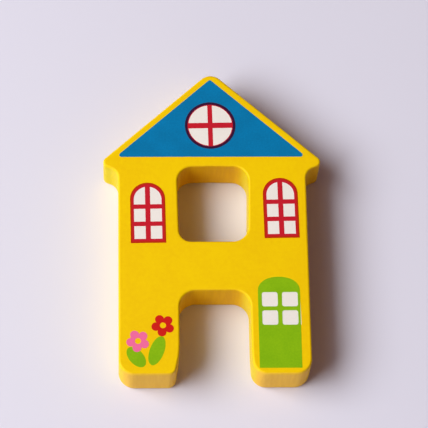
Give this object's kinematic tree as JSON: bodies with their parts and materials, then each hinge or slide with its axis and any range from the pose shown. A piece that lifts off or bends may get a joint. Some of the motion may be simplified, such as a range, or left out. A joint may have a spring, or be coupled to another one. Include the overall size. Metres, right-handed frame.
{
  "type": "wooden letter",
  "caption": "Thick wooden toy letter H cut to a house outline, with a gabled roof, a square hole, a leg gap and printed windows, door and flowers.",
  "frame": {"origin": "middle of the letter's box, on the back face, with the letter lying on its back", "axes": "+X across the letter to the right as it is read, +Y from the feet to the ridge of the roof, +Z out of the printed face"},
  "size_m": [0.0684, 0.1, 0.0153],
  "materials": {
    "yellow_lacquer": "yellow lacquer, satin, over sawn and rounded wood",
    "blue_ink": "printed ink, satin",
    "white_ink": "printed ink, satin",
    "red_ink": "printed ink, satin",
    "green_ink": "printed ink, satin",
    "pink_ink": "printed ink, satin"
  },
  "bodies": {
    "root": {"letter_body": "yellow_lacquer", "roof_print": "blue_ink", "gable_window_white": "white_ink", "gable_window_frame": "red_ink", "left_window_white": "white_ink", "left_window_frame": "red_ink", "right_window_white": "white_ink", "right_window_frame": "red_ink", "door_white": "white_ink", "door_print": "green_ink", "right_leaf_print": "green_ink", "left_leaf_print": "green_ink", "red_flower_print": "red_ink", "pink_flower_print": "pink_ink"}
  },
  "joints": []
}
